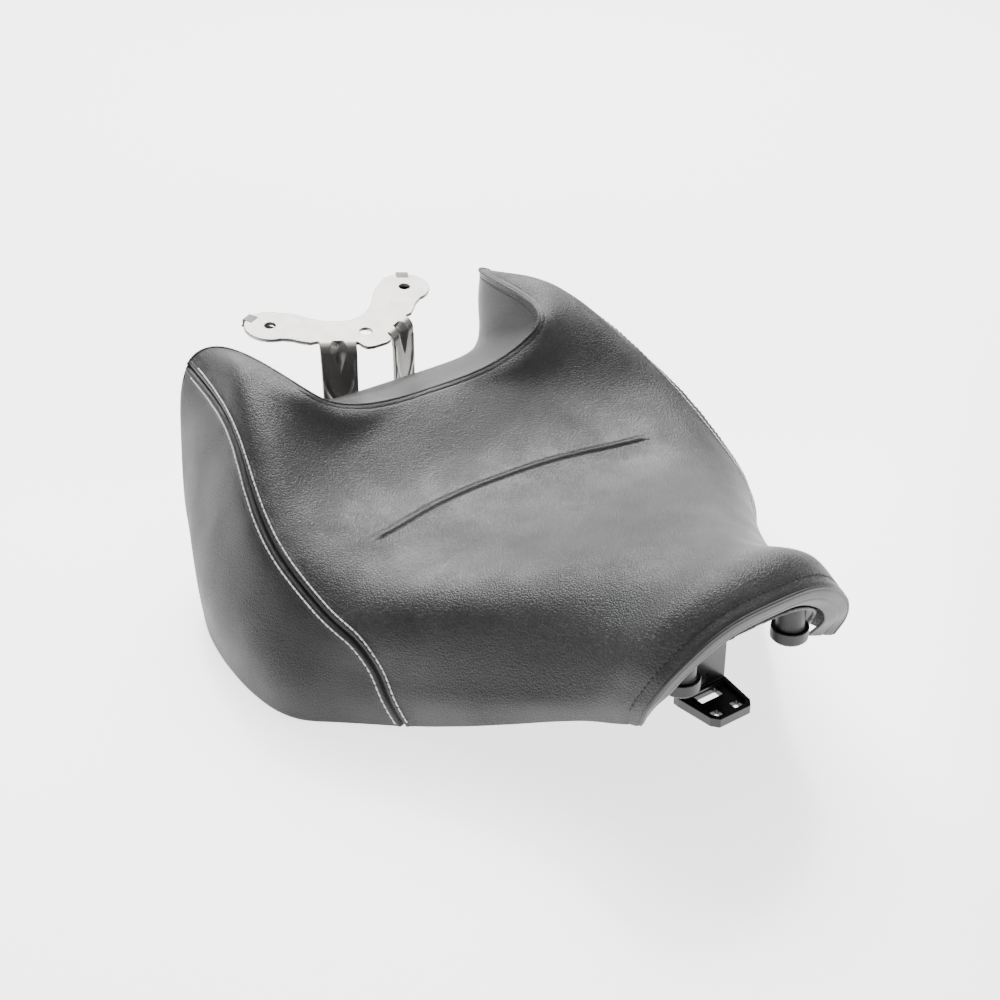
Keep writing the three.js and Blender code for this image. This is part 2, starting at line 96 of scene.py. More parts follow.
def spline(knots, values, q):
    """Natural cubic spline through values (first axis) at q."""
    t = np.asarray(knots, float)
    y = np.asarray(values, float)
    q = np.asarray(q, float)
    n = len(t)
    h = np.diff(t)
    a = np.eye(n)
    r = np.zeros_like(y)
    for i in range(1, n - 1):
        a[i, i - 1:i + 2] = [h[i - 1], 2 * (h[i - 1] + h[i]), h[i]]
        r[i] = 6 * ((y[i + 1] - y[i]) / h[i] - (y[i] - y[i - 1]) / h[i - 1])
    m = np.linalg.solve(a, r.reshape(n, -1)).reshape(y.shape)
    k = np.clip(np.searchsorted(t, q) - 1, 0, n - 2)
    shape = (-1,) + (1,) * (y.ndim - 1)
    hh = h[k].reshape(shape)
    lo = (t[k + 1] - q).reshape(shape) / hh
    hi = 1 - lo
    bend = (lo ** 3 - lo) * m[k] + (hi ** 3 - hi) * m[k + 1]
    return lo * y[k] + hi * y[k + 1] + bend * hh ** 2 / 6


def mirrored(rows):
    rows = np.asarray(rows, float)
    left = rows[:, :0:-1].copy()
    left[..., 0] *= -1
    out = np.concatenate([left, rows], 1)
    out[..., 1] += SHIFT_Y
    return out


FULL = np.concatenate([-np.array(ACROSS[:0:-1]), ACROSS])
NETS = {"top": (mirrored(TOP), TOP_AT), "nose": (mirrored(NOSE), NOSE_AT), "rear": (mirrored(REAR), REAR_AT)}


def points(net, us, vs):
    """Grid of surface points, shape (len(vs), len(us), 3); us may be one row per v."""
    us = np.asarray(us, float)
    out = []
    rows, at = NETS[net]
    cols = spline(at, rows, vs)
    for k in range(len(vs)):
        u = us[k] if us.ndim == 2 else us
        out.append(spline(FULL, cols[k], u))
    return np.array(out)


def at_uv(net, uv):
    rows, at = NETS[net]
    return np.array([spline(FULL, spline(at, rows, [v])[0], [u])[0] for u, v in uv])


def grid_normals(p):
    du = np.gradient(p, axis=1)
    dv = np.gradient(p, axis=0)
    n = np.cross(du, dv)
    return n / (np.linalg.norm(n, axis=2, keepdims=True) + 1e-9)


def even(curve, step):
    """Points every step mm along a polyline, with their distance along it."""
    seg = np.linalg.norm(np.diff(curve, axis=0), axis=1)
    s = np.concatenate([[0], np.cumsum(seg)])
    q = np.arange(0, s[-1], step)
    return np.stack([np.interp(q, s, curve[:, k]) for k in range(curve.shape[1])], 1), q


# ---------------------------------------------------------------- seam lines in 3-D
def seam_uv(n=240):
    # smoothed so that the line has no kinks
    knots_v = [0.4035, 0.42, 0.445, 0.478, 0.52, 0.575, 0.68, 0.84, 1]
    knots_u = [1.0, 0.93, 0.845, 0.765, 0.71, 0.687, 0.68, 0.68, 0.68]
    s = np.linspace(0, 1, len(knots_v))
    q = np.linspace(0, 1, n)
    return np.stack([np.minimum(1, spline(s, knots_u, q)), np.minimum(1, spline(s, knots_v, q))], 1)


SIDE_UV = seam_uv()
ACCENT_U = np.linspace(-0.43, 0.43, 160)
ACCENT_V = 0.68 + 0.0 * ACCENT_U


side_line = at_uv("top", SIDE_UV)
accent_line = at_uv("top", np.stack([ACCENT_U, ACCENT_V], 1))
nose_line = at_uv("nose", [(u, 0) for u in np.linspace(-1, 1, 200)])
rear_line = at_uv("top", [(u, 1) for u in np.linspace(-0.68, 0.68, 260)])
side_near = side_line * [-1, 1, 1]


def distance(p, line, chunk=20000):
    """Shortest distance of each point to a polyline and its place along it."""
    a, b = line[:-1], line[1:]
    ab = b - a
    L = (ab ** 2).sum(1)
    flat = p.reshape(-1, 3)
    out = np.empty(len(flat))
    along = np.empty(len(flat))
    s = np.concatenate([[0], np.cumsum(np.sqrt(L))])
    for i in range(0, len(flat), chunk):
        q = flat[i:i + chunk]
        t = ((q[:, None] - a) * ab).sum(2) / L
        t = np.clip(t, 0, 1)
        d = np.linalg.norm(q[:, None] - (a + t[..., None] * ab), axis=2)
        k = d.argmin(1)
        out[i:i + chunk] = d[np.arange(len(q)), k]
        along[i:i + chunk] = s[k] + t[np.arange(len(q)), k] * np.sqrt(L[k])
    return out.reshape(p.shape[:-1]), along.reshape(p.shape[:-1])


def thin(line, step):
    return even(line, step)[0]


SIDE_COARSE = [thin(side_line, 4.0), thin(side_near, 4.0)]
ACCENT_COARSE = thin(accent_line, 4.0)
NOSE_COARSE = thin(nose_line, 4.0)
REAR_COARSE = thin(rear_line, 4.0)
STITCH = 4.6


def relief(p):
    """How far the sewn cover stands in or out of the plain surface, in mm."""
    out = np.zeros(p.shape[:-1])
    for line in SIDE_COARSE:
        d, s = distance(p, line)
        out += -1.7 * np.exp(-(d / 1.15) ** 2)                         # the seam itself
        out += 0.75 * np.exp(-((d - 3.4) / 2.4) ** 2)                   # turned allowance under it
        pull = 0.5 + 0.5 * np.cos(2 * np.pi * s / STITCH)
        out -= (0.28 + 0.16 * pull) * np.exp(-((d - 4.6) / 0.8) ** 2)    # stitch lines bite in
        out -= 0.12 * np.cos(2 * np.pi * s / 23.0 + 1.3) * np.exp(-((d - 7) / 4.0) ** 2)
    d, s = distance(p, ACCENT_COARSE)
    length = np.linalg.norm(np.diff(ACCENT_COARSE, axis=0), axis=1).sum()
    fade = np.clip(np.minimum(s, length - s) / 9.0, 0.12, 1)
    out += fade * (1.6 * np.exp(-(d / 1.15) ** 2) - 0.9 * np.exp(-((d - 2.6) / 0.7) ** 2)
                   + 0.3 * np.exp(-((d - 5) / 2.2) ** 2))
    pull = 0.5 + 0.5 * np.cos(2 * np.pi * s / 4.0)
    out -= fade * 0.15 * pull * np.exp(-((d - 2.6) / 0.7) ** 2)
    d, s = distance(p, NOSE_COARSE)
    out += 0.7 * np.exp(-((d - 2.6) / 2.2) ** 2) - 0.5 * np.exp(-((d - 8.2) / 1.0) ** 2)
    d, s = distance(p, REAR_COARSE)
    out += 0.3 * np.exp(-((d - 2.0) / 1.8) ** 2) - 0.3 * np.exp(-((d - 4.4) / 0.8) ** 2)
    # the cover is never quite even over hand-cut foam
    x, y, z = p[..., 0], p[..., 1], p[..., 2]
    out += 0.22 * np.sin(x * 0.045 + 1.1) * np.sin(y * 0.038 + 0.4 + z * 0.02)
    out += 0.10 * np.sin(x * 0.11 - y * 0.07 + 2.0) * np.sin(y * 0.13 + z * 0.09)
    return out


# ---------------------------------------------------------------- mesh building
def new_mesh(name, verts, faces, smooth=True):
    me = bpy.data.meshes.new(name)
    me.from_pydata([tuple(v) for v in verts], [], [tuple(f) for f in faces])
    me.validate()
    me.update()
    if smooth:
        me.polygons.foreach_set("use_smooth", [True] * len(me.polygons))
    ob = bpy.data.objects.new(name, me)
    bpy.context.scene.collection.objects.link(ob)
    return ob


def shell(name, outer, inner):
    """Closed thin body from two grids (nv, nu, 3) in mm."""
    nv, nu = outer.shape[:2]
    verts = np.concatenate([outer.reshape(-1, 3), inner.reshape(-1, 3)]) * MM
    idx = np.arange(nv * nu).reshape(nv, nu)
    o = np.stack([idx[:-1, :-1], idx[:-1, 1:], idx[1:, 1:], idx[1:, :-1]], -1).reshape(-1, 4)
    i = o[:, ::-1] + nv * nu
    ring = np.concatenate([idx[0, :-1], idx[:-1, -1], idx[-1, :0:-1], idx[:0:-1, 0]])
    nxt = np.roll(ring, -1)
    w = np.stack([ring, ring + nv * nu, nxt + nv * nu, nxt], -1)
    faces = np.concatenate([o, i, w])
    me = bpy.data.meshes.new(name)
    me.vertices.add(len(verts))
    me.vertices.foreach_set("co", verts.astype(np.float32).ravel())
    me.loops.add(faces.size)
    me.loops.foreach_set("vertex_index", faces.astype(np.int32).ravel())
    me.polygons.add(len(faces))
    me.polygons.foreach_set("loop_start", np.arange(0, faces.size, 4, dtype=np.int32))
    me.update(calc_edges=True)
    me.validate()
    me.polygons.foreach_set("use_smooth", np.ones(len(me.polygons), bool))
    ob = bpy.data.objects.new(name, me)
    bpy.context.scene.collection.objects.link(ob)
    return ob


def cover(name, net, us, vs, thickness=1.8):
    p = points(net, us, vs)
    n = grid_normals(p)
    lift = relief(p)
    outer = p + n * lift[..., None]
    outer[..., 2] = np.maximum(outer[..., 2], 1.1)
    inner = p - n * (thickness + np.maximum(0, -lift))[..., None]
    inner[..., 2] = np.maximum(inner[..., 2], 1.0)
    return shell(name, outer, inner)


# ---------------------------------------------------------------- materials
def node_material(name):
    m = bpy.data.materials.new(name)
    m.use_nodes = True
    nt = m.node_tree
    for n in list(nt.nodes):
        nt.nodes.remove(n)
    out = nt.nodes.new("ShaderNodeOutputMaterial")
    bsdf = nt.nodes.new("ShaderNodeBsdfPrincipled")
    nt.links.new(bsdf.outputs[0], out.inputs[0])
    tex = nt.nodes.new("ShaderNodeTexCoord")
    return m, nt, bsdf, tex


def noise(nt, tex, scale, detail=4.0, rough=0.55):
    n = nt.nodes.new("ShaderNodeTexNoise")
    n.inputs["Scale"].default_value = scale
    n.inputs["Detail"].default_value = detail
    n.inputs["Roughness"].default_value = rough
    nt.links.new(tex.outputs["Object"], n.inputs["Vector"])
    return n


def ramp(nt, src, stops):
    r = nt.nodes.new("ShaderNodeValToRGB")
    r.color_ramp.elements[0].position = stops[0][0]
    r.color_ramp.elements[0].color = stops[0][1]
    r.color_ramp.elements[1].position = stops[-1][0]
    r.color_ramp.elements[1].color = stops[-1][1]
    for pos, col in stops[1:-1]:
        e = r.color_ramp.elements.new(pos)
        e.color = col
    nt.links.new(src, r.inputs[0])
    return r


def grey(v, tint=0.0):
    return (v, v, v * (1 + tint), 1)


def leather(name, base, rough, grain=1.0, strength=0.35):
    m, nt, bsdf, tex = node_material(name)
    wob = noise(nt, tex, 260, 2.0)
    add = nt.nodes.new("ShaderNodeMixRGB")
    add.inputs["Fac"].default_value = 0.0012
    nt.links.new(tex.outputs["Object"], add.inputs["Color1"])
    nt.links.new(wob.outputs["Color"], add.inputs["Color2"])
    cells = nt.nodes.new("ShaderNodeTexVoronoi")
    cells.feature = "DISTANCE_TO_EDGE"
    cells.inputs["Scale"].default_value = 520 * grain
    nt.links.new(add.outputs["Color"], cells.inputs["Vector"])
    fine = nt.nodes.new("ShaderNodeTexVoronoi")
    fine.feature = "DISTANCE_TO_EDGE"
    fine.inputs["Scale"].default_value = 1150 * grain
    nt.links.new(add.outputs["Color"], fine.inputs["Vector"])
    creases = ramp(nt, cells.outputs["Distance"], [(0.0, grey(0.0)), (0.22, grey(1.0))])
    creases2 = ramp(nt, fine.outputs["Distance"], [(0.0, grey(0.0)), (0.3, grey(1.0))])
    mix = nt.nodes.new("ShaderNodeMixRGB")
    mix.inputs["Fac"].default_value = 0.35
    nt.links.new(creases.outputs[0], mix.inputs["Color1"])
    nt.links.new(creases2.outputs[0], mix.inputs["Color2"])
    patchy = noise(nt, tex, 26, 3.0)
    keep = ramp(nt, patchy.outputs["Fac"], [(0.3, grey(0.45)), (0.7, grey(1.0))])
    height = nt.nodes.new("ShaderNodeMixRGB")
    height.blend_type = "MULTIPLY"
    height.inputs["Fac"].default_value = 1.0
    nt.links.new(mix.outputs[0], height.inputs["Color1"])
    nt.links.new(keep.outputs[0], height.inputs["Color2"])
    bump = nt.nodes.new("ShaderNodeBump")
    bump.inputs["Strength"].default_value = strength
    bump.inputs["Distance"].default_value = 0.0005
    nt.links.new(height.outputs[0], bump.inputs["Height"])
    nt.links.new(bump.outputs[0], bsdf.inputs["Normal"])
    tone = ramp(nt, mix.outputs[0], [(0.0, grey(base * 0.72, 0.02)), (0.6, grey(base, 0.03))])
    wide = noise(nt, tex, 9, 3.0)
    wash = ramp(nt, wide.outputs["Fac"], [(0.3, grey(0.92)), (0.7, grey(1.08))])
    col = nt.nodes.new("ShaderNodeMixRGB")
    col.blend_type = "MULTIPLY"
    col.inputs["Fac"].default_value = 1.0
    nt.links.new(tone.outputs[0], col.inputs["Color1"])
    nt.links.new(wash.outputs[0], col.inputs["Color2"])
    nt.links.new(col.outputs[0], bsdf.inputs["Base Color"])
    shine = ramp(nt, patchy.outputs["Fac"], [(0.25, grey(rough - 0.05)), (0.75, grey(rough + 0.07))])
    nt.links.new(shine.outputs[0], bsdf.inputs["Roughness"])
    bsdf.inputs["Specular IOR Level"].default_value = 0.5
    return m


def plain(name, base, rough, metal=0.0, scale=300, bump_s=0.1, dist=0.0001, vary=0.06, coat=0.0):
    m, nt, bsdf, tex = node_material(name)
    n = noise(nt, tex, scale)
    lo = tuple(c * (1 - vary) for c in base) + (1,)
    hi = tuple(min(1, c * (1 + vary)) for c in base) + (1,)
    c = ramp(nt, n.outputs["Fac"], [(0.3, lo), (0.7, hi)])
    nt.links.new(c.outputs[0], bsdf.inputs["Base Color"])
    w = noise(nt, tex, scale * 0.12)
    r = ramp(nt, w.outputs["Fac"], [(0.3, grey(max(0.03, rough - 0.05))), (0.7, grey(rough + 0.05))])
    nt.links.new(r.outputs[0], bsdf.inputs["Roughness"])
    b = nt.nodes.new("ShaderNodeBump")
    b.inputs["Strength"].default_value = bump_s
    b.inputs["Distance"].default_value = dist
    nt.links.new(n.outputs["Fac"], b.inputs["Height"])
    nt.links.new(b.outputs[0], bsdf.inputs["Normal"])
    bsdf.inputs["Metallic"].default_value = metal
    bsdf.inputs["Coat Weight"].default_value = coat
    bsdf.inputs["Coat Roughness"].default_value = 0.12
    return m


M = {
    "seat": leather("seat_vinyl", 0.023, 0.43, 0.85, 0.75),
    "side": leather("side_vinyl", 0.013, 0.47, 0.95, 0.6),
    "rear": leather("rear_vinyl", 0.030, 0.44, 1.2, 0.3),
    "pan": plain("pan_plastic", (0.006, 0.006, 0.0065), 0.45, scale=900, bump_s=0.25),
    "hook": plain("hook_plastic", (0.0035, 0.0035, 0.004), 0.3, scale=700, bump_s=0.08, coat=0.15),
    "rubber": plain("buffer_rubber", (0.005, 0.005, 0.0055), 0.45, scale=800, bump_s=0.2),
    "steel": plain("bracket_steel", (0.30, 0.29, 0.275), 0.40, metal=1.0, scale=500, bump_s=0.15, vary=0.04),
    "zinc": plain("zinc", (0.52, 0.52, 0.51), 0.3, metal=1.0, scale=600, bump_s=0.1),
    "clip": plain("clip_black", (0.006, 0.006, 0.006), 0.4, scale=600, bump_s=0.1),
    "foam": plain("foam", (0.03, 0.03, 0.031), 0.85, scale=900, bump_s=0.5),
    "white": plain("thread_white", (0.78, 0.77, 0.74), 0.55, scale=2500, bump_s=0.5, dist=0.0001),
    "black": plain("thread_black", (0.012, 0.012, 0.012), 0.55, scale=2500, bump_s=0.5, dist=0.0001),
}


def finish_piece(ob, look, replaces=()):
    ob.data.materials.clear()
    ob.data.materials.append(M[look])
    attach(ob, "root")
    if replaces:
        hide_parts(*replaces)
    return ob


FINE = 1.0      # mm per cell, roughly

# ---------------------------------------------------------------- covers
nv = int(560 / (1.35 * FINE))
nu = int(460 / (1.35 * FINE))
top_vs = np.concatenate([[0.0006], np.linspace(0.002, 0.9975, nv), [0.9992]])
seam_v_of = SIDE_UV[:, 1]
seam_u_of = SIDE_UV[:, 0]
order = np.argsort(seam_v_of)
edge_u = np.where(top_vs < 0.4035, 1.0, np.interp(top_vs, seam_v_of[order], seam_u_of[order]) - 0.0004)
# rows bunch towards the two long edges so that the turned edges stay crisp
base_u = np.sin(np.linspace(-1, 1, nu) * math.pi / 2 * 0.82) / math.sin(math.pi / 2 * 0.82)
top_us = edge_u[:, None] * base_u[None, :]
top_cover = cover("seat_cover", "top", top_us, top_vs)
finish_piece(top_cover, "seat", ("top_cover", "foam_core"))

side_vs = np.concatenate([
    np.linspace(0.4045, 0.5, int(90 / FINE)),
    np.linspace(0.502, 0.9992, int(250 / (1.3 * FINE))),
])
side_edge = np.interp(side_vs, seam_v_of[order], seam_u_of[order]) + 0.0004
f = np.linspace(0, 1, int(190 / (1.5 * FINE))) ** 1.25
for sign, tag in ((1, "left"), (-1, "right")):
    us = side_edge[:, None] + (1 - side_edge[:, None]) * f[None, :]
    us = us if sign > 0 else -us[:, ::-1]
    ob = cover("side_panel_" + tag, "top", us, side_vs)
    finish_piece(ob, "side", ("side_cover_" + tag,))

rear_vs = np.concatenate([
    np.linspace(1.0012, 1.08, int(14 / FINE)),
    np.linspace(1.085, 2, int(120 / (1.3 * FINE))),
])
rear_us = np.linspace(-1, 1, int(520 / (1.5 * FINE)))
rear_cover = cover("rear_panel", "rear", rear_us, rear_vs)
finish_piece(rear_cover, "rear", ("rear_cover",))
nose_vs = np.linspace(-1, -0.006, int(26 / FINE) + 4)
nose_us = np.linspace(-1, 1, int(330 / (1.3 * FINE)))
nose_cover = cover("nose_fascia", "nose", nose_us, nose_vs)
finish_piece(nose_cover, "rear", ("nose_cover",))


# ---------------------------------------------------------------- threads
def capsule(bm, a, b, r, n=6):
    a, b = Vector(a), Vector(b)
    d = b - a
    rot = d.to_track_quat("Z", "Y").to_matrix()
    L = d.length
    # place along the axis and share of the full radius, ring by ring
    rings = [(-0.9 * r, 0.45), (-0.4 * r, 0.9), (0.2 * r, 1.0),
             (L - 0.2 * r, 1.0), (L + 0.4 * r, 0.9), (L + 0.9 * r, 0.45)]
    prev = None
    for z, s in rings:
        turns = [2 * math.pi * k / n for k in range(n)]
        ring = [bm.verts.new(a + rot @ Vector((r * s * math.cos(w), r * s * math.sin(w), z))) for w in turns]
        if prev:
            for k in range(n):
                bm.faces.new((prev[k], prev[(k + 1) % n], ring[(k + 1) % n], ring[k]))
        else:
            bm.faces.new(ring[::-1])
        prev = ring
    bm.faces.new(prev)


def surface_frame(net, uv):
    """Points, unit normals and the two tangents on the plain surface."""
    e = 0.003
    p = at_uv(net, uv)
    lo, hi = (0, 1) if net == "top" else ((-1, 0) if net == "nose" else (1, 2))
    up = np.clip(uv[:, 0] + e, -1, 1)
    um = np.clip(uv[:, 0] - e, -1, 1)
    vp = np.clip(uv[:, 1] + e, lo, hi)
    vm = np.clip(uv[:, 1] - e, lo, hi)
    across = at_uv(net, np.stack([up, uv[:, 1]], 1)) - at_uv(net, np.stack([um, uv[:, 1]], 1))
    lengthwise = at_uv(net, np.stack([uv[:, 0], vp], 1)) - at_uv(net, np.stack([uv[:, 0], vm], 1))
    du = across / (up - um)[:, None]
    dv = lengthwise / (vp - vm)[:, None]
    n = np.cross(du, dv)
    n /= np.linalg.norm(n, axis=1, keepdims=True)
    return p, n, du, dv


def beside(net, uv, offset):
    """Line at a distance to the left of a surface line, as uv pairs."""
    p, n, du, dv = surface_frame(net, uv)
    t = np.gradient(p, axis=0)
    t /= np.linalg.norm(t, axis=1, keepdims=True)
    b = np.cross(n, t) * offset
    out = uv.copy()
    for k in range(len(uv)):
        a = np.stack([du[k], dv[k]], 1)
        d, *_ = np.linalg.lstsq(a, b[k], rcond=None)
        out[k] += d
    return out


def stitch_row(name, net, uv, pitch, length, r, look, sink=0.05, mirror=False, skip_ends=0.0):
    uv = uv[(np.abs(uv[:, 0]) <= 1.0)]
    lo, hi = (0, 1) if net == "top" else ((-1, 0) if net == "nose" else (1, 2))
    uv = uv[(uv[:, 1] >= lo) & (uv[:, 1] <= hi)]
    p, n, _, _ = surface_frame(net, uv)
    lift = relief(p)
    line = p + n * (lift + r * 0.55 - sink)[:, None]
    both = np.concatenate([line, n], 1)
    q, _ = even(both, 0.25)
    bm = bmesh.new()
    step = pitch / 0.25
    k = skip_ends / 0.25
    while k + length / 0.25 < len(q) - skip_ends / 0.25:
        i = int(k + random.uniform(-0.6, 0.6))
        i = max(0, i)
        j = min(len(q) - 1, int(i + (length + random.uniform(-0.12, 0.12)) / 0.25))
        a, b = q[i, :3], q[j, :3]
        m = (i + j) // 2
        # a stitch arcs a little: ends dive in, the middle stands proud
        mid = q[m, :3] + q[m, 3:] * 0.16
        a = a - q[i, 3:] * 0.30
        b = b - q[j, 3:] * 0.30
        capsule(bm, a, mid, r)
        capsule(bm, mid, b, r)
        k += step
    if mirror:
        geo = bmesh.ops.duplicate(bm, geom=bm.verts[:] + bm.edges[:] + bm.faces[:])
        vs = [g for g in geo["geom"] if isinstance(g, bmesh.types.BMVert)]
        fs = [g for g in geo["geom"] if isinstance(g, bmesh.types.BMFace)]
        for v in vs:
            v.co.x = -v.co.x
        bmesh.ops.reverse_faces(bm, faces=fs)
    bmesh.ops.scale(bm, vec=(MM, MM, MM), verts=bm.verts)
    me = bpy.data.meshes.new(name)
    bm.to_mesh(me)
    bm.free()
    me.polygons.foreach_set("use_smooth", [True] * len(me.polygons))
    ob = bpy.data.objects.new(name, me)
    bpy.context.scene.collection.objects.link(ob)
    return finish_piece(ob, look)


seam_mid = SIDE_UV[3:-2]
for k, off in enumerate((4.6, -4.6)):
    stitch_row("side_stitch_%d" % k, "top", beside("top", seam_mid, off), STITCH, 3.4, 0.58, "white",
               mirror=True, skip_ends=2)
accent_uv = np.stack([ACCENT_U, ACCENT_V], 1)
for k, off in enumerate((2.6, -2.6)):
    stitch_row("accent_stitch_%d" % k, "top", beside("top", accent_uv, off), 4.0, 2.9, 0.33, "black",
               skip_ends=4)
nose_uv = np.stack([np.linspace(-0.97, 0.97, 200), np.zeros(200)], 1)
stitch_row("nose_stitch", "top", beside("top", nose_uv + [0, 0.001], 8.2), 4.0, 2.9, 0.42, "black",
           skip_ends=3)
rear_uv = np.stack([np.linspace(-0.66, 0.66, 260), np.ones(260)], 1)
stitch_row("rear_stitch", "rear", beside("rear", rear_uv + [0, 0.001], 3.2), 3.6, 2.6, 0.34, "black",
           skip_ends=3)


# ---------------------------------------------------------------- welts: thin cords laid in the seams
def tube(name, pts, r, look, n=10):
    pts = np.asarray(pts, float)
    t = np.gradient(pts, axis=0)
    t /= np.linalg.norm(t, axis=1, keepdims=True)
    up = np.array([0.31, 0.17, 0.93])
    verts, faces = [], []
    for p, d in zip(pts, t):
        a = np.cross(d, up)
        a /= np.linalg.norm(a)
        b = np.cross(d, a)
        for k in range(n):
            w = 2 * math.pi * k / n
            verts.append(p + r * (math.cos(w) * a + math.sin(w) * b))
    m = len(pts)
    for i in range(m - 1):
        for k in range(n):
            k2 = (k + 1) % n
            faces.append((i * n + k, i * n + k2, (i + 1) * n + k2, (i + 1) * n + k))
    faces.append(tuple(range(n))[::-1])
    faces.append(tuple((m - 1) * n + k for k in range(n)))
    ob = new_mesh(name, np.array(verts) * MM, faces)
    return finish_piece(ob, look)


def along(net, us, v, lift):
    uv = np.stack([us, np.full(len(us), v)], 1)
    p, n, _, _ = surface_frame(net, uv)
    return p + n * lift


nose_welt = along("nose", np.linspace(-0.995, 0.995, 220), -0.02, 0.15)
tube("nose_welt", nose_welt, 1.25, "rear")
rear_welt = along("rear", np.linspace(-0.68, 0.68, 300), 1.004, 0.0)
tube("rear_welt", rear_welt, 1.15, "seat")


# ---------------------------------------------------------------- base pan, high resolution
def node_copy(node, name, voxel, smooth=2):
    """Rounded, dense copy of a hard CAD piece."""
    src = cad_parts[node]
    me = src.data.copy()
    ob = bpy.data.objects.new(name, me)
    bpy.context.scene.collection.objects.link(ob)
    bm = bmesh.new()
    bm.from_mesh(me)
    bmesh.ops.remove_doubles(bm, verts=bm.verts, dist=1e-6)
    bm.to_mesh(me)
    bm.free()
    r = ob.modifiers.new("r", "REMESH")
    r.mode = "VOXEL"
    r.voxel_size = voxel * MM * 1.0
    r.use_smooth_shade = True
    s = ob.modifiers.new("s", "SMOOTH")
    s.factor = 0.5
    s.iterations = smooth
    apply(ob)
    return ob


def apply(ob):
    deps = bpy.context.evaluated_depsgraph_get()
    me = bpy.data.meshes.new_from_object(ob.evaluated_get(deps))
    ob.modifiers.clear()
    old = ob.data
    ob.data = me
    bpy.data.meshes.remove(old)
    ob.data.polygons.foreach_set("use_smooth", [True] * len(ob.data.polygons))


pan = node_copy("base_pan", "pan_moulding", 1.0, 3)
finish_piece(pan, "pan", ("base_pan",))
hook = node_copy("front_tongue", "hook_moulding", 0.34, 2)
finish_piece(hook, "hook", ("front_tongue",))
for node in ("front_buffer", "mid_buffer", "rear_buffer"):
    for tag in ("left", "right"):
        ob = node_copy(node + "_" + tag, node + "_rubber_" + tag, 0.5, 4)
        finish_piece(ob, "rubber", (node + "_" + tag,))
# node, look and voxel size in mm
SMALL_PARTS = (
    ("clip_nut", "clip", 0.25),
    ("bracket_bolt", "zinc", 0.22),
    ("bracket_washer", "zinc", 0.22),
    ("tongue_screw", "zinc", 0.22),
    ("tongue_collar", "zinc", 0.22),
)
for node, look, vox in SMALL_PARTS:
    for tag in ("left", "right"):
        ob = node_copy(node + "_" + tag, node + "_fine_" + tag, vox, 2)
        finish_piece(ob, look, (node + "_" + tag,))


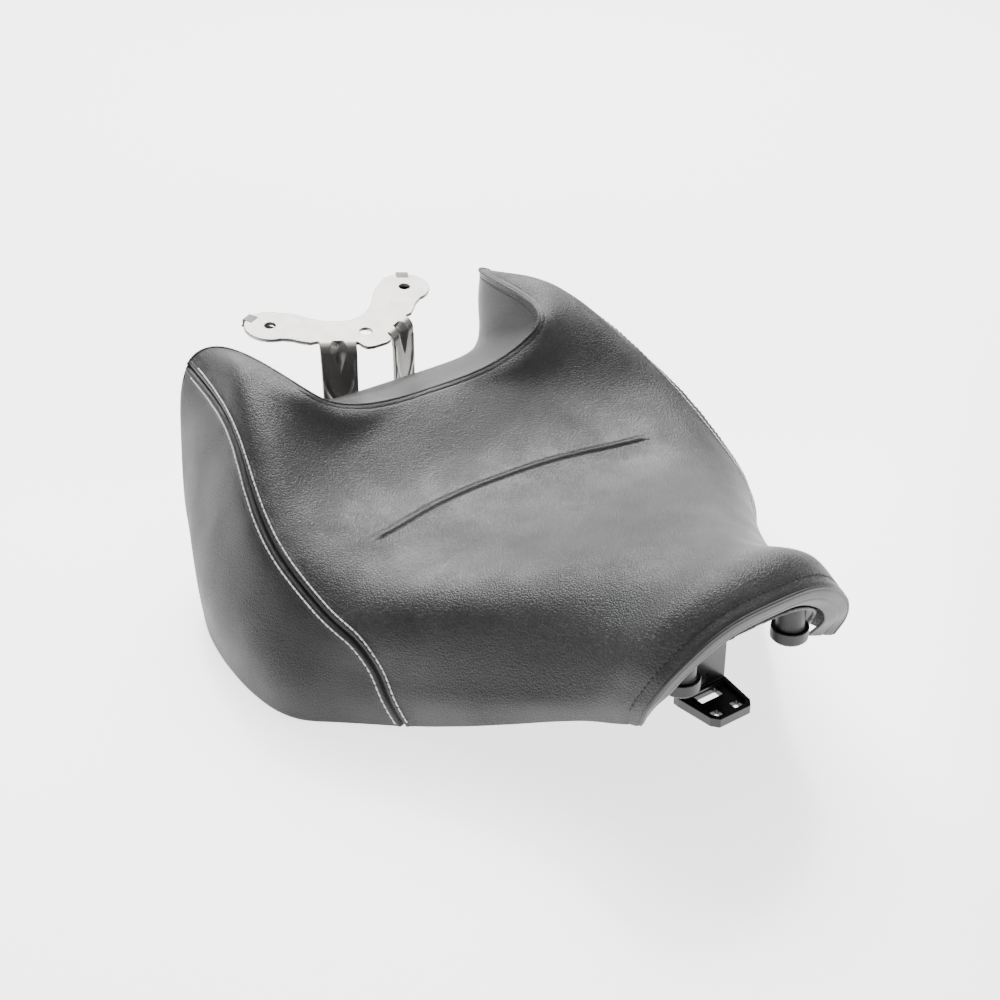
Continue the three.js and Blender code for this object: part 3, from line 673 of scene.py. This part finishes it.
# ---------------------------------------------------------------- stamped rear bracket
def bracket():
    tilt = math.radians(7.9)
    bm = bmesh.new()

    def plate_point(x, y, z):
        # plan position -> tilted plate; the two lobes stand a little above the middle
        d = y - 207
        r = math.hypot(abs(x) - 62.3, y - 247.4)
        step = 1.2 * (1 / (1 + math.exp((r - 27.0) / 2.2)))
        yy = 207 + d * math.cos(tilt) - z * math.sin(tilt)
        zz = 138.4 + d * math.sin(tilt) + z * math.cos(tilt) + step
        return (x, yy + SHIFT_Y, zz)

    half = [(0, 185.8), (6, 185.8), (10.5, 187.2), (12.6, 190), (14.2, 199.5), (41.6, 212.3), (46.5, 213),
            (51, 217), (57.5, 222.8), (64, 227)]
    arc = [(62.3 + 20.2 * math.cos(math.radians(a)), 247.4 + 20.2 * math.sin(math.radians(a)))
           for a in np.linspace(-75, 140, 30)]
    tail = [(40, 256.5), (34.5, 251), (29, 244), (23, 237.3), (16, 231.8), (8, 228), (0, 226.6)]
    right = half + arc + tail
    loop = right + [(-x, y) for x, y in right[::-1][1:-1]]
    # triangulated outline with the holes left out; the voxel pass rounds its edges
    def inside(px, py):
        c = False
        j = len(loop) - 1
        for i in range(len(loop)):
            xi, yi = loop[i]
            xj, yj = loop[j]
            if (yi > py) != (yj > py) and px < (xj - xi) * (py - yi) / (yj - yi) + xi:
                c = not c
            j = i
        return c
    pts = [Vector(p) for p in loop]
    edges = [(i, (i + 1) % len(loop)) for i in range(len(loop))]
    holes = [(62.3, 247.4, 4.4), (-62.3, 247.4, 4.4), (0, 207, 5.0)]
    for hx, hy, hr in holes:
        start = len(pts)
        for k in range(36):
            w = 2 * math.pi * k / 36
            pts.append(Vector((hx + hr * math.cos(w), hy + hr * math.sin(w))))
        edges += [(start + k, start + (k + 1) % 36) for k in range(36)]
    for y in np.arange(186, 269, 2.0):
        for x in np.arange(-84, 84.1, 2.0):
            if inside(x, y) and all(math.hypot(x - hx, y - hy) > hr + 1.2 for hx, hy, hr in holes):
                pts.append(Vector((x, y)))
    vco, _, fcs, *_ = delaunay_2d_cdt(pts, edges, [], 0, 1e-4)
    tris = []
    for fc in fcs:
        cx = sum(vco[i].x for i in fc) / 3
        cy = sum(vco[i].y for i in fc) / 3
        if inside(cx, cy) and all(math.hypot(cx - hx, cy - hy) > hr - 0.02 for hx, hy, hr in holes):
            tris.append(tuple(fc))
    used = sorted({i for t in tris for i in t})
    top = {i: bm.verts.new(plate_point(vco[i].x, vco[i].y, 0)) for i in used}
    low = {i: bm.verts.new(plate_point(vco[i].x, vco[i].y, -3)) for i in used}
    count = {}
    for t in tris:
        a, b, c = t
        if (vco[b] - vco[a]).cross(vco[c] - vco[a]) < 0:
            b, c = c, b
        bm.faces.new((top[a], top[b], top[c]))
        bm.faces.new((low[a], low[c], low[b]))
        for e in ((a, b), (b, c), (c, a)):
            count[e] = True
    for (a, b) in list(count):
        if (b, a) not in count:
            bm.faces.new((top[b], top[a], low[a], low[b]))

    # legs: a strip that starts in the plate, bends down, then forward into a foot
    def leg(side):
        sp = math.radians(25)
        cx, cy = 30.0 * side, 198.8
        dirx = (math.cos(sp), math.sin(sp) * side)           # along the width
        out = (math.sin(sp) * side, -math.cos(sp))            # forwards
        path = []
        for d in np.linspace(-16, -7.5, 5):
            path.append((d, 0.0, 0))
        for w in np.linspace(0, 90, 12):
            path.append((-7.5 + 7.5 * math.sin(math.radians(w)), -7.5 + 7.5 * math.cos(math.radians(w)), 1))
        for z in np.linspace(-11, -108, 56):
            path.append((0.0, z, 2))
        for w in np.linspace(0, 90, 10):
            path.append((7 - 7 * math.cos(math.radians(w)), -110.6 - 7 * math.sin(math.radians(w)), 3))
        for d in np.linspace(9, 54, 22):
            path.append((d, -117.6, 4))
        path = np.array(path)
        tang = np.gradient(path[:, :2], axis=0)
        tang /= np.linalg.norm(tang, axis=1, keepdims=True)
        nrm = np.stack([-tang[:, 1], tang[:, 0]], 1)
        widths = np.linspace(-14.4, 14.4, 49)
        grids = []
        for depth in (0.0, -3.0):
            g = []
            for (d, z, _), nn in zip(path, nrm):
                row = []
                for w in widths:
                    e = 0.0
                    down = -z
                    # a V-shaped dart pressed inwards across the bend
                    run = down if down > 7.5 else 7.5 * math.atan2(d + 7.5, 7.5 - down) / 1.5708
                    if d < -7.4:
                        run = d + 7.5
                    reach = 7.0 * (1 - (run - 5) / 20.0 if run > 5 else 1 - (5 - run) / 14.0)
                    if reach > 0.2 and abs(w) < reach:
                        e -= 3.4 * (1 - abs(w) / reach) * min(1.0, reach / 4.0)
                    # crossed ribs pressed into the flat of the leg
                    if d >= -0.5 and 26 < down < 96:
                        k = (down - 30) / 66.0
                        for sgn in (1, -1):
                            c = sgn * 11.5 * math.cos(math.pi * 1.5 * k)
                            ends = min(1, (down - 26) / 5, (96 - down) / 5)
                            e += 0.85 * math.exp(-((w - c) / 1.5) ** 2) * ends
                    e += 0.7 * math.exp(-((abs(w) - 13.4) / 1.6) ** 2) * (1 if down > 12 and d < 3 else 0)
                    # the leg narrows slightly towards the foot
                    ww = w * (1.0 - 0.10 * min(1, down / 110))
                    dd = d + nn[0] * (depth + e)
                    zz = z + nn[1] * (depth + e)
                    x = cx + dirx[0] * ww + out[0] * dd
                    y = cy + dirx[1] * ww + out[1] * dd
                    top_z = 138.4 + (y - 207) * math.tan(tilt)
                    f = min(1.0, down / 60)
                    zq = (top_z * (1 - f) + (136.0) * f) + zz
                    row.append(bm.verts.new((x, y + SHIFT_Y, zq)))
                g.append(row)
            grids.append(g)
        a, b = grids
        n, m = len(a), len(widths)
        flip = side > 0
        def face(*v):
            bm.faces.new(v if flip else v[::-1])
        for i in range(n - 1):
            for j in range(m - 1):
                face(a[i][j], a[i][j + 1], a[i + 1][j + 1], a[i + 1][j])
                face(b[i][j], b[i + 1][j], b[i + 1][j + 1], b[i][j + 1])
        for i in range(n - 1):
            face(a[i][0], a[i + 1][0], b[i + 1][0], b[i][0])
            face(a[i + 1][m - 1], a[i][m - 1], b[i][m - 1], b[i + 1][m - 1])
        for j in range(m - 1):
            face(a[0][j + 1], a[0][j], b[0][j], b[0][j + 1])
            face(a[n - 1][j], a[n - 1][j + 1], b[n - 1][j + 1], b[n - 1][j])
    leg(1)
    leg(-1)
    bmesh.ops.recalc_face_normals(bm, faces=bm.faces)
    bmesh.ops.scale(bm, vec=(MM, MM, MM), verts=bm.verts)
    me = bpy.data.meshes.new("bracket_stamping")
    bm.to_mesh(me)
    bm.free()
    ob = bpy.data.objects.new("bracket_stamping", me)
    bpy.context.scene.collection.objects.link(ob)
    r = ob.modifiers.new("r", "REMESH")
    r.mode = "VOXEL"
    r.voxel_size = 0.0005 * 1
    r.use_smooth_shade = True
    s = ob.modifiers.new("s", "SMOOTH")
    s.factor = 0.5
    s.iterations = 3
    apply(ob)
    return finish_piece(ob, "steel", ("rear_bracket",))


bracket()

# ---------------------------------------------------------------- anything of the CAD still shown
for name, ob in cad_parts.items():
    if not ob.hide_render:
        ob.data.materials.clear()
        ob.data.materials.append(M["zinc"])

# ---------------------------------------------------------------- studio
def floor_material():
    m, nt, bsdf, tex = node_material("studio_floor")
    n = noise(nt, tex, 3.0)
    c = ramp(nt, n.outputs["Fac"], [(0.3, (0.90, 0.90, 0.90, 1)), (0.7, (0.93, 0.93, 0.93, 1))])
    nt.links.new(c.outputs[0], bsdf.inputs["Base Color"])
    bsdf.inputs["Roughness"].default_value = 0.2
    bsdf.inputs["Specular IOR Level"].default_value = 0.4
    bsdf.inputs["Emission Color"].default_value = (1, 1, 1, 1)
    bsdf.inputs["Emission Strength"].default_value = 2.4
    return m


bpy.ops.mesh.primitive_plane_add(size=14, location=(0, 0, -0.0004))
floor = bpy.context.object
floor.name = "studio_floor"
floor.data.materials.append(floor_material())

world = bpy.data.worlds.new("studio")
bpy.context.scene.world = world
world.use_nodes = True
bg = world.node_tree.nodes["Background"]
bg.inputs[0].default_value = (1, 1, 1, 1)
bg.inputs[1].default_value = 0.30


def area(name, loc, target, size, power, size_y=None, colour=(1, 1, 1)):
    d = bpy.data.lights.new(name, "AREA")
    d.shape = "RECTANGLE"
    d.size = size
    d.size_y = size_y or size
    d.energy = power
    d.color = colour
    ob = bpy.data.objects.new(name, d)
    bpy.context.scene.collection.objects.link(ob)
    ob.location = loc
    ob.rotation_euler = (Vector(target) - Vector(loc)).to_track_quat("-Z", "Y").to_euler()
    return ob


area("top_back", (0.8, 1.3, 1.5), (0, 0, 0.08), 2.0, 125, 1.4)
area("top", (0.1, 0.2, 2.0), (0, 0, 0), 1.6, 14)
area("nose_side", (1.7, -1.0, 0.9), (0, -0.1, 0.1), 0.8, 6)

cam_data = bpy.data.cameras.new("camera")
cam_data.lens = 64.8
cam_data.sensor_width = 36
cam = bpy.data.objects.new("camera", cam_data)
bpy.context.scene.collection.objects.link(cam)
az, el = math.radians(-35.886), math.radians(31.130)
back = Vector((math.sin(az) * math.cos(el), -math.cos(az) * math.cos(el), math.sin(el)))
cam.location = (-0.6595, -0.8829 + SHIFT_Y * MM, 0.7512)
cam.rotation_euler = (-back).to_track_quat("-Z", "Y").to_euler()
bpy.context.scene.camera = cam
